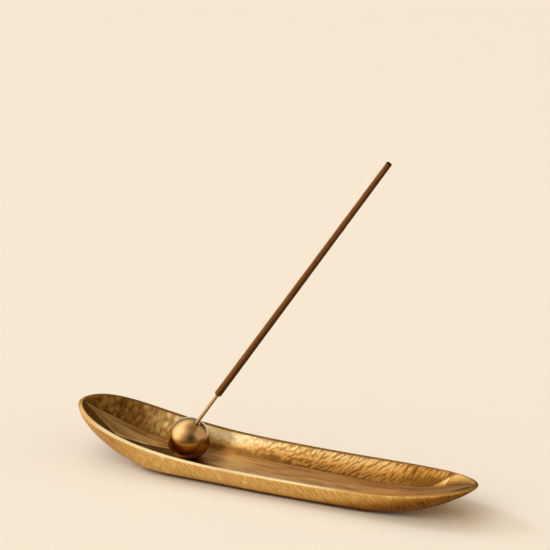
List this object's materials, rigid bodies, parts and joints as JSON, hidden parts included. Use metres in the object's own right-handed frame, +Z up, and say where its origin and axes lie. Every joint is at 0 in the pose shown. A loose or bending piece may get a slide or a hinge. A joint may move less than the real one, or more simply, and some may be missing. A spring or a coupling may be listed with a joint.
{
  "type": "incense holder",
  "caption": "Boat-shaped hammered brass tray with a drilled brass ball screwed to its floor, holding a slanting incense stick over the hollow that catches the ash.",
  "frame": {"origin": "on the table, under the middle of the tray's length and width", "axes": "+Z up; +X along the tray towards its fine, low end, the way the stick leans; +Y across the tray"},
  "size_m": [0.25, 0.0518, 0.2038],
  "materials": {
    "tray_brass": "hammered inside, filed outside, polished rim",
    "screw_brass": "turned",
    "ball_brass": "polished",
    "bamboo": "split bamboo, bare",
    "incense_paste": "matt rolled paste of wood powder"
  },
  "bodies": {
    "tray": {"boat_tray": "tray_brass", "fixing_screw": "screw_brass"},
    "ball": {"ball_holder": "ball_brass"},
    "stick": {"bamboo_core": "bamboo", "incense_coat": "incense_paste"}
  },
  "joints": [
    {"name": "ball_swivel", "type": "hinge", "parent": "tray", "child": "ball", "pos_m": [-0.05304, 0, 0.00295], "axis": [0, 0, 1], "range_deg": [-180, 180]},
    {"name": "stick_pull", "type": "slide", "parent": "ball", "child": "stick", "axis": [0.549, 0, 0.8358], "range_m": [0, 0.03]}
  ]
}
